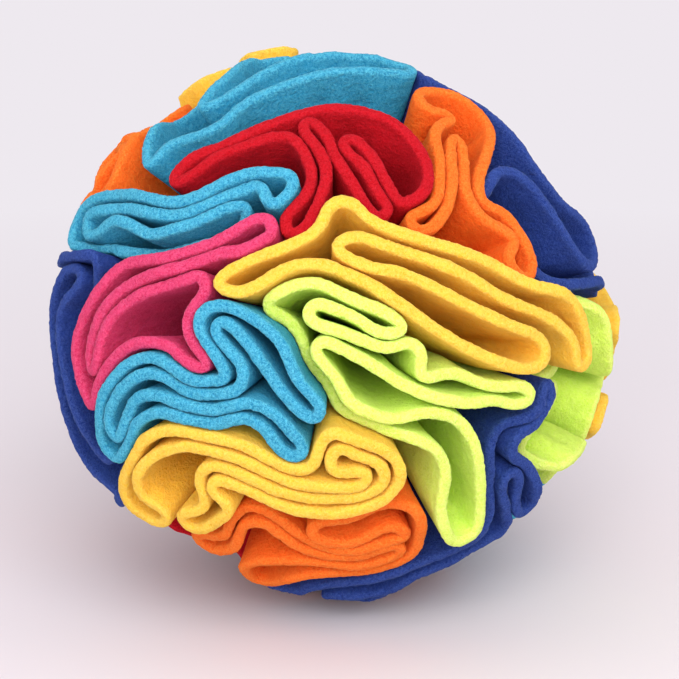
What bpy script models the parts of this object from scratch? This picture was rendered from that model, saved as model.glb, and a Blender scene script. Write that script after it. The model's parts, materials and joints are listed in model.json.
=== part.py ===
"""A snuffle ball: fleece discs gathered at their centres and strung on one cord, so that
their rims crowd together as winding folds on the surface of a ball."""
import math

import bmesh
import bpy
import numpy as np
from mathutils import Matrix, Vector
from mathutils.geometry import delaunay_2d_cdt

# Driving sizes, in metres
BALL_RADIUS = 0.075
SETTLING = 0.004
FLEECE_THICKNESS = 0.003
FLEECE_GAP = 0.0003
FOLD_HALF_WIDTH = 0.0021
FOLD_SPREAD = 0.0075
HIDDEN_RIM_LENGTH = 0.400
WEB_REACH = 0.022
WEB_DEPTH = 0.006
STEM_RADIUS = 0.0008
NUB_RADIUS = 0.0027
NUB_DROP = 0.006
NUB_SPACING = 0.008
CORD_RADIUS = 0.0008
CORD_CLEARANCE = 0.0003
KNOT_SCALE = 0.0016
NEAR_REACH = 3 * FOLD_SPREAD
MERGE_REACH = 0.00001

# The view that the traced rims are seen in
VIEW_DISTANCE = 0.65
VIEW_ELEVATION = math.radians(14.5)
VIEW_CENTRE_PIXELS = (332, 322)
VIEW_LIMB_PIXELS = 287

# Counts
RELAXING_ROUNDS = 160
REFRESH_ROUNDS = 8
HIDDEN_RIM_POINTS = 26
CURVE_STEPS = 12
NUB_SIDES = 4
HOLE_SIDES = 4
CORD_SIDES = 6
KNOT_POINTS = 42
EASING_ROUNDS = 12
PICKING_ROUNDS = 3

# Shares that the rims settle by
SPREAD_PUSH_SHARE = 0.06
CROWD_PUSH_SHARE = 0.5
ROOM_SHARE = 1.03
SMOOTHING_SHARE = 0.12
HELD_SMOOTHING_SHARE = 0.02
LATE_SMOOTHING_SHARE = 0.3
LENGTHENING_SHARE = 0.3
EVENING_SHARE = 0.3
HOMING_SHARE = 0.06
LATE_HOMING_SHARE = 0.2
SPREAD_STEP_SHARE = 0.25
STEP_SHARE = 0.5

# Other shares
LEAST_STRETCH_SHARE = 0.6
EASED_SHARE = 0.7
THREADED_SHARE = 1.3
LEAN_COST_SHARE = 0.05
NUB_ROOT_SHARE = 0.7
KNOT_LEAN_SHARE = 0.5
LEAST_GAIN_SHARE = 1e-9

COLOURS = {
    "teal": (0.045, 0.43, 0.65),
    "red": (0.58, 0.004, 0.016),
    "orange": (1.0, 0.19, 0.014),
    "yellow": (0.96, 0.54, 0.045),
    "blue": (0.022, 0.062, 0.37),
    "magenta": (0.68, 0.045, 0.17),
    "green": (0.62, 0.86, 0.03),
    "cord": (0.85, 0.83, 0.78),
}
FLEECE_ROUGHNESS = 0.95
CORD_ROUGHNESS = 0.7

# Rims traced in the view: the height of the rim as a share of the ball's radius, then its
# points in pixels, each with a share of its own where it lies deeper or stands higher.
TRACED_RIM_SHARES = {
    "fleece_teal_top": (0.96, [
        (152, 132), (142, 152), (147, 166), (158, 149), (178, 138), (202, 131), (222, 119), (237, 104),
        (256, 94), (318, 73), (350, 66), (385, 68), (410, 73), (421, 66), (372, 54), (312, 55), (285, 61),
        (255, 75), (225, 94), (196, 108), (203, 95), (228, 73), (258, 56), (284, 49),
    ]),
    "fleece_red_top": (0.98, [
        (166, 184), (173, 170), (214, 146), (272, 121), (303, 110), (340, 105), (371, 109), (398, 122),
        (419, 142), (431, 165), (430, 187), (418, 203), (403, 208), (377, 165), (361, 145), (347, 136),
        (337, 141), (346, 151), (360, 156), (385, 192), (390, 208), (384, 220), (361, 198), (334, 146),
        (318, 126), (304, 117), (304, 127), (319, 142), (327, 160), (326, 180), (312, 219), (302, 233),
        (287, 233), (279, 220), (306, 188), (314, 171), (311, 152), (299, 137), (282, 132), (256, 138),
        (203, 162), (184, 177),
    ]),
    "fleece_orange_upper": (0.955, [
        (416, 95), (429, 87), (448, 90), (465, 98), (490, 117), (494, 129), (485, 170), (478, 187),
        (484, 202), (502, 208), (518, 223), (531, 245), (537, 265), (532, 283), (505, 257), (521, 240),
        (502, 226), (484, 217), (475, 200), (464, 146), (457, 131), (450, 145), (453, 165), (453, 190),
        (447, 210), (437, 226), (418, 229), (405, 220), (437, 203), (443, 185), (443, 160), (438, 121),
        (462, 112), (424, 106),
    ]),
    "fleece_blue_right": (0.955, [
        (604, 287), (578, 286, 0.93), (558, 277, 0.88), (537, 236, 0.88), (523, 213, 0.88),
        (503, 197, 0.88), (484, 194, 0.93), (487, 181), (498, 169), (512, 168), (530, 180), (561, 223),
        (588, 268), (597, 266), (594, 245), (585, 223), (568, 206), (550, 184), (516, 139), (500, 119),
        (482, 102), (440, 82), (424, 79), (428, 64),
    ]),
    "fleece_teal_left": (1.0, [
        (64, 246), (69, 226), (84, 202), (105, 192), (130, 192), (180, 205), (204, 195), (228, 179),
        (252, 171), (276, 170), (293, 175), (297, 188), (284, 202), (274, 206), (260, 180), (244, 183),
        (202, 208), (178, 217), (150, 213), (122, 205), (97, 208), (82, 220), (78, 236), (112, 219),
        (132, 225), (150, 237), (168, 241), (192, 233), (254, 200, 0.95), (244, 213, 0.93),
        (190, 239, 0.92), (158, 247, 0.92), (125, 249, 0.93), (95, 246, 0.94),
    ]),
    "fleece_magenta_left": (1.01, [
        (273, 228), (260, 241), (240, 251), (222, 251), (200, 256), (175, 267), (126, 282), (108, 298),
        (95, 318), (87, 340), (85, 360), (89, 376), (96, 360), (99, 340), (105, 322), (118, 306),
        (139, 292), (163, 281), (185, 273), (201, 275), (206, 285), (188, 314), (186, 330), (191, 345),
        (215, 366), (207, 376), (188, 366), (169, 348), (148, 342), (126, 347), (107, 367), (96, 392),
        (90, 413), (80, 394), (69, 338), (79, 317), (104, 279), (118, 264), (136, 257), (158, 257),
        (208, 235), (256, 214), (268, 217),
    ]),
    "fleece_blue_left": (1.0, [
        (114, 508), (120, 497), (100, 484), (79, 456), (67, 425), (57, 390), (50, 350), (48, 315),
        (54, 287), (66, 266), (80, 262), (84, 270), (58, 306), (55, 332), (57, 358), (84, 436),
        (91, 460, 0.97), (101, 470, 0.97), (100, 459, 0.96), (72, 396, 0.94), (64, 365, 0.94),
        (61, 336, 0.94), (67, 312, 0.94), (80, 290, 0.94), (106, 262), (64, 259),
    ]),
    "fleece_teal_centre": (1.02, [
        (98, 448), (97, 422), (101, 396), (116, 372), (136, 358), (157, 357), (190, 380), (210, 385),
        (227, 380), (220, 366), (204, 350), (196, 333), (197, 315), (210, 304), (231, 305), (273, 326),
        (287, 341), (305, 375), (319, 392), (326, 408), (317, 420), (303, 417), (272, 382), (246, 341),
        (232, 326), (217, 321), (210, 332), (218, 347), (244, 380), (237, 392), (220, 398), (198, 397),
        (178, 389), (160, 376), (143, 369), (127, 374), (114, 390), (108, 437), (116, 449), (124, 412),
        (136, 396), (150, 394), (182, 410), (207, 412), (251, 400), (267, 408), (298, 441), (303, 456),
        (293, 466), (281, 458), (260, 424), (245, 416), (212, 428), (192, 425), (155, 410), (143, 414),
        (129, 450), (113, 463),
    ]),
    "fleece_yellow_centre": (1.03, [
        (211, 284), (230, 293), (258, 286), (304, 259), (321, 259), (400, 303), (432, 327), (470, 350),
        (508, 367), (538, 371), (551, 360), (549, 344), (530, 331), (500, 322), (430, 284), (395, 271),
        (342, 257), (335, 245), (347, 236), (370, 237), (440, 262), (478, 281), (512, 302), (542, 311),
        (566, 326), (579, 350), (582, 370), (593, 365), (592, 338), (583, 312), (568, 293), (545, 290),
        (492, 262), (455, 249), (388, 229), (369, 217), (357, 202), (340, 197), (328, 205), (323, 222),
        (312, 235), (220, 272),
    ]),
    "fleece_green_centre": (1.0, [
        (261, 304), (274, 293), (295, 283), (314, 281), (331, 287), (352, 299), (376, 308), (396, 319),
        (406, 330), (396, 334), (360, 320), (325, 304), (312, 305), (308, 316), (318, 326), (334, 329),
        (372, 345), (390, 348), (415, 342), (423, 353), (416, 380), (450, 373), (478, 383), (506, 388),
        (528, 389), (534, 397), (525, 404), (500, 402), (474, 404), (448, 401), (425, 395), (403, 386),
        (360, 357), (338, 347), (318, 344), (306, 352), (307, 364), (333, 394), (344, 410), (356, 421),
        (375, 426), (395, 422), (416, 415), (442, 413), (460, 420), (474, 437), (482, 465), (485, 495),
        (484, 520), (473, 538), (456, 543), (444, 531), (441, 511), (447, 489), (447, 466), (439, 450),
        (424, 442), (384, 434, 0.95), (363, 428, 0.94), (347, 416, 0.93), (325, 386, 0.92),
        (312, 370, 0.92), (303, 353, 0.92), (298, 337, 0.92), (268, 314, 0.92),
    ]),
    "fleece_yellow_lower": (1.03, [
        (166, 526), (141, 520), (125, 505), (120, 483), (123, 460), (148, 431), (167, 425), (225, 439),
        (250, 449), (295, 475), (312, 472), (320, 460), (321, 444), (330, 433), (348, 430), (390, 450),
        (402, 467), (403, 484), (392, 499), (370, 510), (315, 516), (285, 510), (222, 479), (211, 482),
        (214, 493), (226, 502), (230, 513), (222, 526), (205, 531), (185, 529), (178, 522), (202, 512),
        (205, 502), (198, 490), (197, 475), (208, 466), (229, 469), (285, 496), (315, 503), (345, 503),
        (371, 497), (386, 485), (387, 471), (355, 450), (337, 449), (327, 460), (331, 472), (344, 477),
        (370, 475), (368, 485), (345, 491), (318, 489), (290, 481), (240, 458), (214, 449), (190, 446),
        (149, 456), (136, 467), (134, 482), (146, 504), (163, 515),
    ]),
    "fleece_orange_bottom": (0.965, [
        (189, 540), (204, 551), (222, 555), (236, 549), (241, 523), (252, 517), (300, 551), (321, 558),
        (345, 560), (369, 557), (401, 548), (403, 556), (391, 563), (368, 568), (340, 568), (310, 563),
        (282, 564), (258, 564), (242, 567), (244, 577), (256, 585), (275, 586), (297, 577), (322, 575),
        (347, 578), (374, 577), (399, 569), (416, 557), (424, 540), (410, 502), (395, 511, 0.93),
        (345, 524), (324, 524),
        (312, 528), (312, 538), (326, 545), (350, 547), (408, 531), (410, 540), (392, 541), (370, 549),
        (345, 553), (322, 551), (300, 541), (266, 512), (247, 507), (233, 512), (222, 541),
    ]),
    "fleece_blue_bottom": (0.93, [
        (546, 381, 0.97), (546, 400, 0.97), (538, 417, 0.97), (503, 425), (493, 440), (491, 465),
        (493, 518, 0.96), (484, 537, 0.985), (464, 549, 0.965), (392, 576, 0.965), (365, 584, 0.965),
        (312, 592, 0.965), (318, 603, 0.985), (350, 602, 0.985), (385, 593, 0.985), (445, 571, 0.985),
        (472, 558, 0.985), (512, 533, 0.985), (503, 498, 0.96), (504, 480, 0.96), (513, 472, 0.96),
        (522, 480, 0.96), (518, 493, 0.96), (520, 520, 0.985), (530, 513, 0.985), (538, 500, 0.985),
        (540, 486, 0.985), (534, 473, 0.96), (521, 462, 0.96), (514, 449, 0.97), (521, 438, 0.97),
        (537, 430, 0.97), (549, 413, 0.97), (556, 393, 0.97),
    ]),
    "fleece_green_right": (0.985, [
        (524, 451), (541, 442), (556, 426), (574, 385), (587, 378), (597, 355), (598, 330), (581, 298),
        (593, 290), (606, 300), (611, 330), (611, 365), (605, 400), (592, 435), (573, 462), (553, 481),
        (544, 474), (574, 434), (592, 388), (583, 392), (556, 444), (540, 458),
    ]),
}
# Where three of these rims run on beyond the limb: bearing and reach in degrees about the
# ball's far middle, then the height share.
FAR_STRETCH_SHARES = {
    "fleece_teal_top": [(84, 86, 0.97), (78, 90, 0.96), (70, 94, 0.94), (60, 97, 0.89), (51, 98, 0.89)],
    "fleece_blue_right": [
        (116, 79, 0.955), (124, 79, 0.955), (127, 91, 0.955), (132, 91, 0.955), (132, 80, 0.955),
        (141, 81, 0.955), (145, 92, 0.955), (150, 92, 0.955), (150, 80, 0.955), (159, 78, 0.955),
        (162, 90, 0.955), (167, 89, 0.955), (167, 76, 0.955), (173, 78, 0.955),
    ],
    "fleece_blue_left": [
        (12, 84, 1.0), (7, 78, 1.0), (3, 79, 1.0), (0, 92, 1.0), (-5, 92, 1.0), (-5, 78, 1.0),
        (-12, 77, 1.0), (-15, 91, 1.0), (-20, 91, 1.0), (-21, 77, 1.0), (-28, 78, 1.0), (-31, 91, 1.0),
        (-36, 92, 1.0), (-37, 83, 1.0),
    ],
}

# Ways a hidden disc folds: shares of its cell's half bearing and of its reach, then of the
# fold's own width.
THREE_RUN_SHARES = [
    (-0.72, 0.05, 1), (-0.76, 0.35, 1), (-0.70, 0.70, 1.5), (-0.52, 0.92, 1.2), (-0.22, 0.93, 1),
    (-0.03, 0.70, 1), (-0.04, 0.40, 1), (0.06, 0.14, 1), (0.36, 0.05, 1), (0.62, 0.28, 1.4),
    (0.72, 0.60, 1.8), (0.66, 0.93, 1.2),
]
FOUR_RUN_SHARES = [
    (0.76, 0.06, 1), (0.20, 0.10, 1), (-0.46, 0.07, 1), (-0.78, 0.20, 1), (-0.44, 0.35, 1),
    (0.28, 0.33, 1), (0.76, 0.44, 1.3), (0.42, 0.60, 1), (-0.34, 0.58, 1), (-0.78, 0.72, 1.4),
    (-0.34, 0.88, 1), (0.30, 0.92, 1.5), (0.78, 0.84, 1.5),
]
CURL_SHARES = [
    (-0.74, 0.06, 1), (-0.80, 0.50, 1), (-0.55, 0.90, 1.2), (0.15, 0.95, 1), (0.74, 0.78, 1),
    (0.78, 0.36, 1), (0.34, 0.10, 1), (-0.20, 0.20, 1), (-0.40, 0.48, 1), (-0.10, 0.70, 1),
    (0.30, 0.60, 1.2), (0.26, 0.42, 1.2),
]
# Hidden discs: height share, way of folding, then the cell in degrees: bearing, half bearing,
# nearest and farthest reach.
HIDDEN_CELL_SHARES = {
    "fleece_yellow_top_back": (1.0, THREE_RUN_SHARES, 67, 15, 41, 86),
    "fleece_magenta_back": (0.96, CURL_SHARES, 105, 17, 41, 78),
    "fleece_green_back": (0.99, THREE_RUN_SHARES, 149, 19, 41, 69),
    "fleece_yellow_right_back": (1.02, THREE_RUN_SHARES, 188, 16, 41, 91),
    "fleece_teal_back": (0.98, THREE_RUN_SHARES, 222, 17, 42, 80),
    "fleece_red_back": (1.0, FOUR_RUN_SHARES, 263, 21, 41, 90),
    "fleece_red_underside": (0.96, THREE_RUN_SHARES, 303, 18, 42, 82),
    "fleece_orange_back": (1.0, FOUR_RUN_SHARES, -13, 23, 42, 69),
}
# Hidden discs whose fold follows points of its own: bearing and reach in degrees, width share.
HIDDEN_FOLD_SHARES = {
    "fleece_orange_left_back": (0.97, [
        (31, 109, 1.2), (37, 106.5, 1.2), (42, 104, 1.2), (47, 100.5, 1.2), (51, 97, 1), (52, 91, 1),
        (44, 91, 1), (34, 95, 1), (24, 94, 1), (15, 89, 1), (17, 81, 1), (28, 82, 1), (41, 81, 1),
        (48, 74, 1), (38, 69, 1.2), (24, 71, 1), (16, 64, 1), (20, 55, 1), (33, 55, 1.2), (44, 60, 1.2),
    ]),
    "fleece_blue_back": (0.98, [
        (-37, 34, 1.2), (-3, 33, 1.6), (33, 33, 1), (68, 32, 1), (101, 32, 1), (122, 25, 1), (87, 18, 1.3),
        (38, 18, 1.3), (-9, 19, 1), (-45, 17, 1), (-31, 6, 1),
    ]),
    "fleece_teal_middle_back": (1.02, [
        (143, 34, 1.2), (177, 33, 1.6), (213, 33, 1), (248, 32, 1), (281, 32, 1), (302, 25, 1),
        (267, 18, 1.3), (218, 18, 1.3), (171, 19, 1), (135, 17, 1), (149, 6, 1),
    ]),
}


def clear_scene():
    for item in list(bpy.data.objects):
        bpy.data.objects.remove(item, do_unlink=True)


def material(name, roughness):
    made = bpy.data.materials.new(name)
    made.use_nodes = True
    shader = made.node_tree.nodes["Principled BSDF"]
    shader.inputs["Base Color"].default_value = (*COLOURS[name], 1)
    shader.inputs["Roughness"].default_value = roughness
    shader.inputs["Metallic"].default_value = 0
    made.diffuse_color = (*COLOURS[name], 1)
    return made


def unit(rows):
    rows = np.asarray(rows, float)
    return rows / np.linalg.norm(rows, axis=-1, keepdims=True)


# Directions are kept in the view's own axes: right, up and towards the eye.
def seen_direction(x, y, height_share):
    """Where the eye's ray through this pixel meets a ball of this height; past the limb it wraps round."""
    focal = VIEW_LIMB_PIXELS / math.tan(math.asin(BALL_RADIUS / VIEW_DISTANCE))
    radius = BALL_RADIUS * height_share
    edge = focal * math.tan(math.asin(radius / VIEW_DISTANCE))
    offset = np.array([x - VIEW_CENTRE_PIXELS[0], VIEW_CENTRE_PIXELS[1] - y], float)
    across = np.hypot(*offset)
    beyond = across > edge
    if beyond:
        offset *= (2 * edge - across) / across
    ray = np.array([*(offset / focal), -1])
    eye = np.array([0, 0, VIEW_DISTANCE])
    along = -(ray @ eye)
    root = math.sqrt(max(along**2 - (ray @ ray) * (eye @ eye - radius**2), 0))
    depth = (along + root if beyond else along - root) / (ray @ ray)
    return unit(eye + depth * ray)


def far_direction(bearing, reach):
    """Bearing and reach in degrees, about the ball's far middle and as seen from behind."""
    turn, lean = math.radians(bearing), math.radians(reach)
    return np.array([-math.sin(lean) * math.cos(turn), math.sin(lean) * math.sin(turn), -math.cos(lean)])


def traced_rims():
    """Name, directions and height shares of each rim that the view shows."""
    for name, (height, points) in TRACED_RIM_SHARES.items():
        shares = [point[2] if len(point) > 2 else height for point in points]
        rim = [seen_direction(*point[:2], max(height, share)) for point, share in zip(points, shares)]
        far = FAR_STRETCH_SHARES.get(name, [])
        rim += [far_direction(bearing, reach) for bearing, reach, _ in far]
        yield name, np.array(rim), np.array(shares + [share for _, _, share in far])


def evenly(points, count):
    """Points at even steps along a smooth curve through these."""
    ends = np.vstack([2 * points[0] - points[1], points, 2 * points[-1] - points[-2]])
    fine = []
    for a, b, c, d in zip(ends, ends[1:], ends[2:], ends[3:]):
        for t in np.linspace(0, 1, CURVE_STEPS, endpoint=False):
            curve = (2 * a - 5 * b + 4 * c - d) * t**2 + (3 * b - a - 3 * c + d) * t**3
            fine.append((2 * b + (c - a) * t + curve) / 2)
    fine = np.vstack([fine, points[-1]])
    steps = np.linalg.norm(np.diff(fine[:, :3], axis=0), axis=1)
    run = np.concatenate([[0], np.cumsum(steps)])
    at = np.linspace(0, run[-1], count)
    return np.stack([np.interp(at, run, column) for column in fine.T], axis=1)


def rim_round(spine):
    """The closed rim that runs up one side of a fold's spine and down the other."""
    along = evenly(np.array(spine, float), HIDDEN_RIM_POINTS // 2 - 1)
    middle = unit(along[:, :3])
    width = along[:, 3:] * FOLD_HALF_WIDTH / BALL_RADIUS
    ahead = unit(np.gradient(middle, axis=0))
    side = np.cross(middle, ahead) * width
    first = middle[0] - ahead[0] * width[0]
    last = middle[-1] + ahead[-1] * width[-1]
    return unit(np.vstack([middle + side, last, (middle - side)[::-1], first]))


def hidden_rims():
    """Name, directions and height shares of each rim on the far side."""
    for name, (height, ways, bearing, half, near, far) in HIDDEN_CELL_SHARES.items():
        spine = [(*far_direction(bearing + u * half, near + v * (far - near)), w) for u, v, w in ways]
        yield name, rim_round(spine), np.full(HIDDEN_RIM_POINTS, height)
    for name, (height, points) in HIDDEN_FOLD_SHARES.items():
        spine = [(*far_direction(bearing, reach), w) for bearing, reach, w in points]
        yield name, rim_round(spine), np.full(HIDDEN_RIM_POINTS, height)


class Rims:
    """All rims together, as points on a sphere of the ball's radius."""

    def __init__(self, loops, loose):
        sizes = [len(loop) for loop in loops]
        self.points = np.vstack(loops) * BALL_RADIUS
        self.ring = np.repeat(np.arange(len(loops)), sizes)
        self.place = np.concatenate([np.arange(size) for size in sizes])
        self.count = np.repeat(sizes, sizes)
        start = np.repeat(np.cumsum([0] + sizes[:-1]), sizes)
        self.after = start + (self.place + 1) % self.count
        self.before = start + (self.place - 1) % self.count
        self.loose = np.array(loose, float)[self.ring]

    def near_pairs(self, reach):
        """Points and stretches that may touch, without a point's own stretches and their neighbours."""
        between = np.linalg.norm(self.points[:, None] - self.points[None], axis=2)
        near = np.minimum(between, between[:, self.after]) < reach
        steps = []
        for other in (self.place, self.place[self.after]):
            apart = np.abs(self.place[:, None] - other[None])
            steps.append(np.minimum(apart, self.count[:, None] - apart))
        own = (self.ring[:, None] == self.ring[None]) & (np.minimum(*steps) <= 1)
        return np.nonzero(near & ~own)

    def gaps(self, who, stretch):
        """From each stretch's nearest place to the point: the way, its length and the place along it."""
        start = self.points[stretch]
        along = self.points[self.after[stretch]] - start
        share = ((self.points[who] - start) * along).sum(1) / (along**2).sum(1)
        share = np.clip(share, 0, 1)[:, None]
        away = self.points[who] - start - along * share
        return away, np.linalg.norm(away, axis=1)[:, None], share

    def step(self, who, stretch, late):
        """Push crowded stretches apart, smooth and even out the rims, and hold the traced ones in place."""
        pitch = FLEECE_THICKNESS + FLEECE_GAP
        away, far, share = self.gaps(who, stretch)
        both_loose = (self.loose[who] * self.loose[stretch])[:, None]
        soft = SPREAD_PUSH_SHARE * (1 - late) * np.clip(FOLD_SPREAD - far, 0, None) * both_loose
        hard = CROWD_PUSH_SHARE * np.clip(ROOM_SHARE * pitch - far, 0, None)
        push = np.minimum(soft + hard, SPREAD_STEP_SHARE * pitch) * away / far
        move = np.zeros_like(self.points)
        np.add.at(move, who, push)
        np.add.at(move, stretch, -push * (1 - share))
        np.add.at(move, self.after[stretch], -push * share)
        loose = self.loose[:, None]
        middle = (self.points[self.after] + self.points[self.before]) / 2 - self.points
        smoothing = np.where(loose > 0, SMOOTHING_SHARE, HELD_SMOOTHING_SHARE)
        move += middle * smoothing * (1 - (1 - LATE_SMOOTHING_SHARE) * late)
        ahead = self.points[self.after] - self.points
        length = np.linalg.norm(ahead, axis=1)
        mean = np.bincount(self.ring, weights=length)[self.ring] / self.count
        wanted = mean + LENGTHENING_SHARE * (HIDDEN_RIM_LENGTH / self.count - mean)
        pull = (EVENING_SHARE * (length - wanted) / length * self.loose)[:, None] * ahead
        move += pull
        np.add.at(move, self.after, -pull)
        homing = HOMING_SHARE * (1 - loose) * (1 - (1 - LATE_HOMING_SHARE) * late)
        move += (self.home - self.points) * homing
        size = np.linalg.norm(move, axis=1, keepdims=True)
        longest = STEP_SHARE * pitch
        self.points += move * (longest / np.maximum(size, longest))
        self.points = unit(self.points) * BALL_RADIUS

    def relax(self):
        self.home = self.points.copy()
        for number in range(RELAXING_ROUNDS):
            if number % REFRESH_ROUNDS == 0:
                pairs = self.near_pairs(NEAR_REACH)
            self.step(*pairs, number / RELAXING_ROUNDS)

    def room(self):
        """Each point's distance to the nearest stretch that isn't beside it on its own rim."""
        who, stretch = self.near_pairs(NEAR_REACH)
        far = self.gaps(who, stretch)[1][:, 0]
        least = np.full(len(self.points), FOLD_SPREAD)
        for index in (who, stretch, self.after[stretch]):
            np.minimum.at(least, index, far)
        return least


def settled_rims():
    """Name, directions, height shares and half thicknesses of every rim, once none touches another."""
    traced = list(traced_rims())
    hidden = list(hidden_rims())
    named = traced + hidden
    loose = [0] * len(traced) + [1] * len(hidden)
    rims = Rims([loop for _, loop, _ in named], loose)
    rims.relax()
    half = np.minimum(FLEECE_THICKNESS, rims.room() - FLEECE_GAP) / 2
    for number, (name, _, shares) in enumerate(named):
        own = rims.ring == number
        yield name, unit(rims.points[own]), shares, half[own]


def in_world(directions):
    """View axes to the ball's own: X right, Y away from the eye's side, Z up."""
    sine, cosine = math.sin(VIEW_ELEVATION), math.cos(VIEW_ELEVATION)
    axes = np.array([[1, 0, 0], [0, sine, cosine], [0, -cosine, sine]])
    return directions @ axes


def crossed(directions):
    """Which stretches of a closed line cross another of its stretches."""
    sides = np.cross(directions, np.roll(directions, -1, 0)) @ directions.T
    parted = sides * np.roll(sides, -1, 1) < 0
    number = np.arange(len(directions))
    apart = np.abs(number[:, None] - number)
    apart = np.minimum(apart, len(directions) - apart)
    same_side = directions @ directions.T > 0
    return (parted & parted.T & same_side & (apart > 1)).any(axis=1)


def aside(directions, offsets):
    """Directions moved sideways from the rim's line by these angles, outwards of the loop.

    The move is eased where a short stretch at a sharp bend would turn back on itself, or cross
    another stretch of the same line."""
    ahead = unit(np.roll(directions, -1, 0) - np.roll(directions, 1, 0))
    side = np.cross(directions, ahead)
    middle = unit(directions.mean(0))
    swept = np.cross(directions, np.roll(directions, -1, 0)).sum(0) @ middle
    side *= -1 if swept > 0 else 1
    stretch = np.roll(directions, -1, 0) - directions
    eased = offsets.copy()
    for _ in range(EASING_ROUNDS):
        moved = unit(directions + side * eased[:, None])
        kept = ((np.roll(moved, -1, 0) - moved) * stretch).sum(1) / (stretch**2).sum(1)
        turned = (kept < LEAST_STRETCH_SHARE) | crossed(moved)
        eased[turned | np.roll(turned, 1)] *= EASED_SHARE
    return moved


def rim_points(directions, shares):
    """Rim points at their height, flattened where the ball stands."""
    stand = BALL_RADIUS - SETTLING
    down = np.maximum(-directions[:, 2], stand / (2 * BALL_RADIUS))
    return directions * np.minimum(shares * BALL_RADIUS, stand / down)[:, None]


def flat_faces(directions, first):
    """Triangles that fill the loop, by vertex numbers from first on."""
    middle = Vector(unit(directions.mean(0)))
    turn = middle.to_track_quat("Z", "Y").inverted()
    local = [turn @ Vector(direction) for direction in directions]
    flat = [Vector((point.x / point.z, point.y / point.z)) for point in local]
    numbers = list(range(len(flat)))
    _, _, faces, origins, _, _ = delaunay_2d_cdt(flat, [], [numbers], 1, 0)
    return [[first + origins[corner][0] for corner in face] for face in faces]


def band(first, second, count):
    """Quads between two rings of vertices."""
    return [(first + i, first + (i + 1) % count, second + (i + 1) % count, second + i) for i in range(count)]


def wall_half(reach):
    """Half the fleece's thickness where it is pinched together at this reach from the centre."""
    return ((FLEECE_THICKNESS + FLEECE_GAP) * reach / BALL_RADIUS - FLEECE_GAP) / 2


def skirt(name, directions, shares, half):
    """The disc outside its gathered centre: a winding wall on a web that closes its foot."""
    count = len(directions)
    pocket_reach = WEB_REACH + WEB_DEPTH
    pinch = half / (FLEECE_THICKNESS / 2)
    outer_foot = aside(directions, wall_half(WEB_REACH) * pinch / WEB_REACH)
    inner_foot = aside(directions, -wall_half(pocket_reach) * pinch / pocket_reach)
    rings = [
        outer_foot * WEB_REACH,
        rim_points(aside(directions, half / BALL_RADIUS), shares),
        rim_points(aside(directions, -half / BALL_RADIUS), shares),
        inner_foot * pocket_reach,
    ]
    faces = flat_faces(outer_foot, 0) + flat_faces(inner_foot, 3 * count)
    for number in range(3):
        faces += band(number * count, (number + 1) * count, count)
    shape = bmesh.new()
    corners = [shape.verts.new(point) for point in np.vstack(rings)]
    for face in faces:
        shape.faces.new([corners[corner] for corner in face])
    bmesh.ops.recalc_face_normals(shape, faces=shape.faces[:])
    mesh = bpy.data.meshes.new(name)
    shape.to_mesh(mesh)
    shape.free()
    return bpy.data.objects.new(name, mesh)


def inside(direction, directions):
    """Whether the direction lies within the loop, by the angle that the loop sweeps round it."""
    spokes = directions - (directions @ direction)[:, None] * direction
    after = np.roll(spokes, -1, 0)
    turns = np.arctan2(np.cross(spokes, after) @ direction, (spokes * after).sum(1))
    return abs(turns.sum()) > math.pi


def gather_choices(directions):
    """Directions within the disc's own folds where its gathered centre could hang, and how well."""
    middle = unit(directions.mean(0))
    along = np.roll(directions, -1, 0) - directions
    places, scores = [], []
    for step in (1, 2):
        inward = np.full(len(directions), -step * FOLD_HALF_WIDTH / BALL_RADIUS)
        for place in aside(directions, inward):
            share = ((place - directions) * along).sum(1) / (along**2).sum(1)
            nearest = directions + along * np.clip(share, 0, 1)[:, None]
            clear = np.linalg.norm(place - nearest, axis=1).min() * BALL_RADIUS
            lean = math.acos(min(place @ middle, 1)) * BALL_RADIUS
            if inside(place, directions):
                places.append(place)
                scores.append(min(clear, FOLD_HALF_WIDTH) - lean * LEAN_COST_SHARE)
    return np.array(places), np.array(scores)


def gather_directions(loops):
    """One direction for each disc, chosen so that the gathered centres don't crowd each other."""
    choices = [gather_choices(loop) for loop in loops]
    picked = np.array([places[np.argmax(scores)] for places, scores in choices])
    cord_reach = WEB_REACH - NUB_DROP
    for _ in range(PICKING_ROUNDS):
        for number, (places, scores) in enumerate(choices):
            others = np.delete(picked, number, axis=0)
            between = np.arccos(np.clip(places @ others.T, -1, 1)) * cord_reach
            crowding = np.clip(NUB_SPACING - between, 0, None).sum(1)
            picked[number] = places[np.argmax(scores - crowding)]
    return picked


def nub(direction):
    """Stem and gathered centre, turned about the disc's own axis."""
    cord_reach = WEB_REACH - NUB_DROP
    profile = [
        (0, WEB_REACH + NUB_ROOT_SHARE * WEB_DEPTH),
        (STEM_RADIUS, WEB_REACH),
        (NUB_RADIUS, cord_reach + NUB_RADIUS / 2),
        (NUB_RADIUS, cord_reach - NUB_RADIUS / 2),
        (0, cord_reach - NUB_RADIUS),
    ]
    mesh = bpy.data.meshes.new("nub_profile")
    edges = [(i, i + 1) for i in range(len(profile) - 1)]
    mesh.from_pydata([(across, 0, along) for across, along in profile], edges, [])
    item = bpy.data.objects.new("nub", mesh)
    screw = item.modifiers.new("turn", "SCREW")
    screw.steps = screw.render_steps = NUB_SIDES
    screw.use_merge_vertices = True
    screw.merge_threshold = MERGE_REACH
    item.rotation_mode = "QUATERNION"
    item.rotation_quaternion = Vector(direction).to_track_quat("Z", "Y")
    return item


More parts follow.
